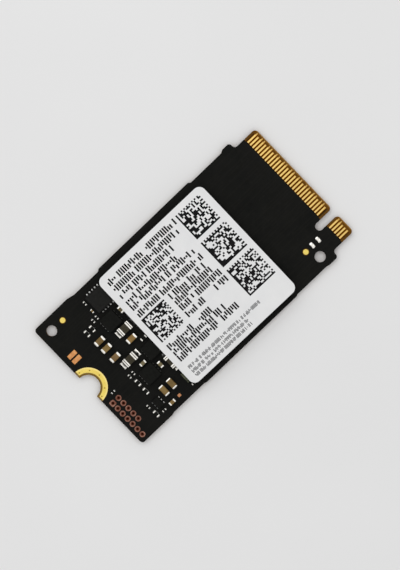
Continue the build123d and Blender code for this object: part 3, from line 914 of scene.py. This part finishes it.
def make_ends(chip, axis, middle, radius):
    """A chip's two terminals: grooved straps on an inductor, rounded caps on a capacitor."""
    bm = bmesh.new()
    for low, high in boxes_of(chip + "_ends"):
        outward = 1 if low[axis] > middle else -1
        inner = low[axis] if outward > 0 else high[axis]
        if chip.startswith("inductor"):
            grooved_end(bm, low, high, axis, outward)
            continue
        if chip in NARROW_BANDS:
            inner += outward * ((high - low)[axis] - NARROW_BANDS[chip])
            (low if outward > 0 else high)[axis] = inner
        rounded_block(bm, low, high, radius, (axis, inner))
    as_piece(chip + "_rounded_ends", to_mesh(bm, END_FACET), "tin", stands_for=[chip + "_ends"])


def block_piece(name, node, radius, facet, slot, finish=None):
    """A rounded block in place of a CAD node."""
    bm = bmesh.new()
    rounded_block(bm, *corners_of(node), radius)
    as_piece(name, to_mesh(bm, facet), slot, finish, [node])


def make_chips():
    """Chip bodies and their terminals with rounded edges, in the places of the plain ones."""
    suffix = "_ends"
    chips = [name[:-len(suffix)] for name in nodes if name.endswith(suffix) and name != "resistor_ends"]
    for chip in chips:
        body = chip + "_body"
        low, high = corners_of(body)
        ends_low, ends_high = corners_of(chip + suffix)
        axis = 0 if high.x - low.x > high.y - low.y else 1
        round_end = END_ROUNDING * (ends_high.z - ends_low.z)
        if chip.startswith("inductor"):
            slot, radius = "ferrite", FERRITE_ROUNDING * (high.z - low.z)
        else:
            slot, radius = "capacitor_ceramic", round_end - (ends_high.z - high.z)
        block_piece(chip + "_rounded_body", body, radius, BODY_FACET, slot, CERAMICS.get(chip))
        make_ends(chip, axis, ((low + high) / 2)[axis], round_end)
    bm = bmesh.new()
    for low, high in boxes_of("resistor_ends"):
        rounded_block(bm, low, high, END_ROUNDING * (high.z - low.z))
    mesh = to_mesh(bm, RESISTOR_FACET)
    as_piece("resistor_rounded_ends", mesh, "tin", "resistor_tin", ["resistor_ends"])


def make_packages():
    """Moulded bodies with softened edges, and the crystal's base and lid, darkened with painted shade of the
    label's edge.
    """
    chips = ("capacitor", "inductor")
    for body in [name for name in nodes if name.endswith("_body") and not name.startswith(chips)]:
        finish = "grey_moulding" if body.startswith("power_switch") else None
        block_piece(body + "_moulded", body, MOULD_EDGE, PACKAGE_FACET, "moulding", finish)
    for node, (slot, radius) in CRYSTAL.items():
        block_piece(node + "_rounded", node, radius, PACKAGE_FACET, slot, "crystal_tan")


def make_domes():
    """Tinned pads crowned with solder, lower and narrower at the middle where two beads run together."""
    half, tiny, squareness = 0.5, 1e-6, 0.55
    waist, waist_width, saddle, saddle_width = 0.28, 0.2, 0.3, 0.16
    bm = bmesh.new()
    bmesh.ops.create_uvsphere(bm, u_segments=32, v_segments=16, radius=half)
    in_order(bm)
    below = [vertex for vertex in bm.verts if vertex.co.z < -tiny]
    bmesh.ops.delete(bm, geom=below, context="VERTS")
    bmesh.ops.contextual_create(bm, geom=[edge for edge in bm.edges if edge.is_boundary])
    for vertex in bm.verts:
        flat = vertex.co.xy
        if flat.length > tiny:
            across, along = flat * (flat.length / max(abs(flat.x), abs(flat.y))) ** squareness
            if along < 0:
                along *= 1 - waist * math.exp(-(across / waist_width) ** 2)
            vertex.co.x = max(-half, min(half, across))
            vertex.co.y = max(-half, min(half, along))
            vertex.co.z *= 1 - saddle * math.exp(-(across / saddle_width) ** 2)
    points = []
    for low, high in boxes_of("solder_domes"):
        centre, size = (low + high) / 2, high - low
        points.append(Point((centre.x, centre.y, low.z), FLAT, (size.x, size.y, size.z / half)))
    copies("solder_domes_crowned", to_mesh(bm, SMOOTH), points, "tin", stands_for=["solder_domes"])


def make_balls():
    """Round solder balls under the storage package, a little sunk into what they join."""
    overlap = 1.12
    bm = bmesh.new()
    bmesh.ops.create_uvsphere(bm, u_segments=16, v_segments=10, radius=0.5)
    in_order(bm)
    points = []
    for low, high in boxes_of("package_balls"):
        size = high - low
        points.append(Point((low + high) / 2, FLAT, (size.x, size.x, overlap * size.z)))
    copies("package_balls_round", to_mesh(bm, SMOOTH), points, "tin", stands_for=["package_balls"])


# Pads of the board

def make_eyelets():
    """Round eyelets with a barrel that narrows inside, and the square one at the header's first pin."""
    hole, throat, barrel, sides, square = 0.26, 0.1, 0.31, 32, 1.2
    pad_depth, funnel_depth = 0.035, 0.17
    boxes = boxes_of("header_eyelets")
    first = min(boxes, key=lambda box: (round(box[0].y, 1), box[0].x))
    bm = bmesh.new()
    for box in boxes:
        low, high = box
        centre = (low + high) / 2
        pad = disc_outline(centre, (high.x - low.x) / 2, sides, square if box is first else 1.0)
        mouth, inner, outer = (disc_outline(centre, radius, sides) for radius in (hole, throat, barrel))
        under, throat_top = high.z - pad_depth, high.z - funnel_depth
        outlines = [mouth, pad, pad, outer, outer, inner, inner]
        spool(bm, outlines, [high.z, high.z, under, under, low.z, low.z, throat_top])
    as_piece("header_eyelets_round", to_mesh(bm), "copper", "tarnished_copper", ["header_eyelets"])


def make_fiducials():
    """Round gold targets with a soft edge."""
    sides, edge_width, edge_depth = 48, 0.02, 0.01
    bm = bmesh.new()
    for low, high in boxes_of("fiducials"):
        centre, radius = (low + high) / 2, (high.x - low.x) / 2
        side = disc_outline(centre, radius, sides)
        top = disc_outline(centre, radius - edge_width, sides)
        spool(bm, [top, side, side], [high.z, high.z - edge_depth, low.z], capped=True)
    as_piece("fiducials_round", to_mesh(bm), "gold_plate", "target_gold", ["fiducials"])


def make_copper_pads():
    """Bare pads with round corners. The mask laps a little over the edges of the two bridge pads."""
    corner, edge, steps, mask_lap = 0.1, 0.015, 5, 0.03
    boxes = sorted(boxes_of("copper_pads"), key=lambda box: (box[1] - box[0]).length)
    groups = (
        ("test_pad_rounded", boxes[:1], "dull_copper", 0.0),
        ("bridge_pads_rounded", boxes[1:], None, mask_lap),
    )
    for name, group, finish, lap in groups:
        bm = bmesh.new()
        for low, high in group:
            centre = (low + high) / 2
            half = (high - low) / 2 - Vector((lap, lap, 0))
            top = round_rectangle(centre, half - Vector((edge, edge, 0)), corner - edge, steps)
            side = round_rectangle(centre, half, corner, steps)
            spool(bm, [top, side, side], [high.z, high.z - edge, low.z], capped=True)
        as_piece(name, to_mesh(bm), "copper", finish, ["copper_pads"])


# Label

INK_HEIGHT = 0.004
DROOP = 0.07
LABEL_CORNER = 1.0
LABEL_CORNER_STEPS = 10
LABEL_TURN = math.radians(-0.4)
LABEL_MIDDLE = (LABEL_LOW + LABEL_HIGH) / 2
LABEL_TOP = LABEL_HIGH.z - INK_HEIGHT
INK_MIDDLE = LABEL_TOP + INK_HEIGHT / 2
MOULD_LOW, MOULD_HIGH = corners_of("package_mould")

# Cuts across each free end, so that it can bend
BEND_CUTS = 6
BEND_STEP = 0.34


def label_half_size():
    """Half the label's width and length before it was turned askew, from the box that it takes up."""
    cosine, sine = math.cos(LABEL_TURN), abs(math.sin(LABEL_TURN))
    wide, long = (LABEL_HIGH - LABEL_LOW).xy / 2 - Vector((LABEL_CORNER, LABEL_CORNER))
    share = cosine ** 2 - sine ** 2
    return Vector((
        (cosine * wide - sine * long) / share + LABEL_CORNER,
        (cosine * long - sine * wide) / share + LABEL_CORNER,
    ))


def on_label(mesh):
    """The label's free ends hang a little below the package's top, and it is askew about its middle."""
    for vertex in mesh.vertices:
        past = max(MOULD_LOW.y - vertex.co.y, vertex.co.y - MOULD_HIGH.y, 0.0)
        vertex.co.z -= DROOP * (past / (MOULD_LOW.y - LABEL_LOW.y)) ** 2
    middle = Matrix.Translation((LABEL_MIDDLE.x, LABEL_MIDDLE.y, 0.0))
    mesh.transform(middle @ Matrix.Rotation(LABEL_TURN, 4, "Z") @ middle.inverted())


def make_label():
    """A paper sheet with round corners, a little thinner than its place so that the ink lies within it."""
    outline = round_rectangle(LABEL_MIDDLE, label_half_size(), LABEL_CORNER, LABEL_CORNER_STEPS)
    bm = bmesh.new()
    bm.faces.new([bm.verts.new((x, y, LABEL_TOP)) for x, y in outline])
    for end, way in ((MOULD_LOW.y, -1), (MOULD_HIGH.y, 1)):
        for step in range(BEND_CUTS):
            cut = Vector((0, end + way * step * BEND_STEP, 0))
            sheet = bm.verts[:] + bm.edges[:] + bm.faces[:]
            bmesh.ops.bisect_plane(bm, geom=sheet, plane_co=cut, plane_no=(0, 1, 0))
    made = bmesh.ops.extrude_face_region(bm, geom=bm.faces[:])["geom"]
    underside = [item for item in made if isinstance(item, bmesh.types.BMVert)]
    bmesh.ops.translate(bm, verts=underside, vec=Vector((0, 0, LABEL_LOW.z - LABEL_TOP)))
    in_order(bm)
    mesh = to_mesh(bm)
    on_label(mesh)
    as_piece("label_sheet", mesh, "label_paper", stands_for=["label"])


# Code squares: left, lower end and side of each, its number of cells, and its quarter turns
CODES = [
    (-8.84, 4.43, 4.47, 18, 1), (-3.67, 4.42, 4.62, 18, 1),
    (1.56, 4.41, 4.86, 20, 1), (-1.57, -9.0, 4.3, 18, 0),
]
CODE_FILL = 0.52
CODE_SEED = 11

# Rows of bars along the card: the row's middle across the card, and where it starts and ends
ROWS = [
    (-8.42, -8.87, 3.95), (-7.2, -8.87, 3.3), (-5.98, -8.87, 1.12), (-4.75, -8.87, 0.55), (-3.7, -8.87, 3.0),
    (-2.4, -8.87, 3.35), (-1.18, -3.85, 2.68), (-0.13, -3.85, 3.0), (0.99, -3.85, 3.75), (2.25, -3.85, -0.6),
    (2.25, 1.66, 3.8), (3.9, -8.9, -0.85), (4.92, -8.9, 0.78), (5.99, -8.9, 2.3),
]
FINE_ROWS = [(7.8, -8.7, 4.8), (8.55, -8.7, 1.95), (9.26, -8.7, 1.95)]

# Rows, their height, the width of their bars, and the finish of the ink
BARS = {
    "label_bars": (ROWS, 1.0, 0.25, "label_ink"),
    "label_fine_bars": (FINE_ROWS, 0.52, 0.1, "label_fine_ink"),
}

# Pitch in widths of a bar, the share left out, and where chance starts
BAR_PITCH = 1.5
BAR_LEFT_OUT = 0.1
BAR_SEED = 5

# Ends of a bar in thirds of the row's height: full, which comes four times as often, upper, lower and short
BAR_KINDS = ((-1.5, 1.5),) * 4 + ((-1.5, 0.5), (-0.5, 1.5), (-0.5, 0.5))


def make_codes():
    """Code squares of ink on the label."""
    for number, (left, low, side, cells, quarters) in enumerate(CODES):
        mesh = grow(CODE_SQUARE, [Point(FLAT, FLAT, FLAT)], {
            "Cells": cells,
            "Cell": side / cells,
            "Height": INK_HEIGHT,
            "Fill": CODE_FILL,
            "Seed": CODE_SEED + number,
            "Finish": FINISHES["label_ink"],
        })
        place = Matrix.Translation((left + side / 2, low + side / 2, INK_MIDDLE))
        mesh.transform(place @ Matrix.Rotation(quarters * math.pi / 2, 4, "Z"))
        on_label(mesh)
        as_piece(f"label_code_{number + 1}", mesh, "label_paper", "label_ink")


def bar_row(chance, across, start, end, height, bar):
    """A row of sorting bars: each is full, upper, lower or short, or left out, by chance."""
    third = height / 3
    count = round((end - start) / (BAR_PITCH * bar))
    points = []
    for number in range(count):
        low, high = chance.choice(BAR_KINDS)
        if number in (0, count - 1) or chance.random() > BAR_LEFT_OUT:
            along = start + bar / 2 + (end - start - bar) * number / (count - 1)
            middle = across - third * (low + high) / 2
            points.append(Point((middle, along, INK_MIDDLE), FLAT, (third * (high - low), bar, INK_HEIGHT)))
    return points


def make_bars():
    """Rows of ink bars on the label, and finer ones beside them."""
    chance = random.Random(BAR_SEED)
    for name, (rows, height, bar, ink) in BARS.items():
        points = [point for row in rows for point in bar_row(chance, *row, height, bar)]
        bm = bmesh.new()
        bmesh.ops.create_cube(bm, size=1.0)
        mesh = copied(to_mesh(bm), points, ink)
        on_label(mesh)
        as_piece(name, mesh, "label_paper", ink)


# Stage

FLOOR_REACH = 1000.0

# Light of the sky at the horizon and from this height up, and the lamp's place in metres, power and size
HORIZON_LIGHT, TOP_LIGHT, TOP_HEIGHT = 0.35, 1.05, 0.9
LAMP_PLACE = (-0.16, 0.05, 0.3)
LAMP_POWER = 0.25
LAMP_SIZE = 0.3

# The photograph looks down on the card, all but straight: the camera's place over it, its turn about
# the upright, its small tilt about its own right and up, and its lens.
VIEW_PLACE = Vector((-0.144, 12.744, 280.285))
VIEW_TURN = math.radians(46.234)
VIEW_TILT = Vector((math.radians(-1.857), math.radians(1.748), 0.0))
VIEW_LENS = 126.177


def make_stage():
    """Pale floor, soft light from above that fades towards the horizon, and a soft lamp to one side."""
    bm = bmesh.new()
    bmesh.ops.create_grid(bm, x_segments=1, y_segments=1, size=FLOOR_REACH)
    floor = stand("floor", to_mesh(bm), "floor")

    world = bpy.data.worlds.new("studio")
    world.use_nodes = True
    tree = world.node_tree
    way = add(tree, "ShaderNodeTexCoord").outputs["Generated"]
    rise = add(tree, "ShaderNodeSeparateXYZ", {0: way}).outputs[2]
    light = fit(rise, 0.0, TOP_HEIGHT, HORIZON_LIGHT, TOP_LIGHT)
    fill(tree.nodes["Background"], {"Strength": light, "Color": rgb(1.0, 1.0, 1.0)})
    bpy.context.scene.world = world

    lamp = bpy.data.lights.new("soft_lamp", "AREA")
    lamp.energy, lamp.size = LAMP_POWER, LAMP_SIZE
    holder = put("soft_lamp", lamp)
    holder.location = LAMP_PLACE
    holder.rotation_euler = (-holder.location).to_track_quat("-Z", "Y").to_euler()


def make_camera():
    """The camera of the photograph."""
    camera = bpy.data.cameras.new("camera")
    camera.lens = VIEW_LENS
    holder = put("camera", camera)
    tilt = Matrix.Rotation(VIEW_TILT.length, 4, VIEW_TILT)
    holder.matrix_world = Matrix.Translation(VIEW_PLACE * MM) @ Matrix.Rotation(VIEW_TURN, 4, "Z") @ tilt
    bpy.context.scene.camera = holder


for subpart in frame["record"]["subparts"]:
    nodes[subpart["node"]].material_slots[0].material = FINISHES[subpart["material_slot"]]
nodes["mounting_pads"].material_slots[0].material = FINISHES["ring_gold"]
make_solder()
make_leads()
make_chips()
make_packages()
make_domes()
make_balls()
make_eyelets()
make_fiducials()
make_copper_pads()
make_label()
make_codes()
make_bars()
make_stage()
make_camera()
bpy.context.scene.view_settings.view_transform = "Standard"
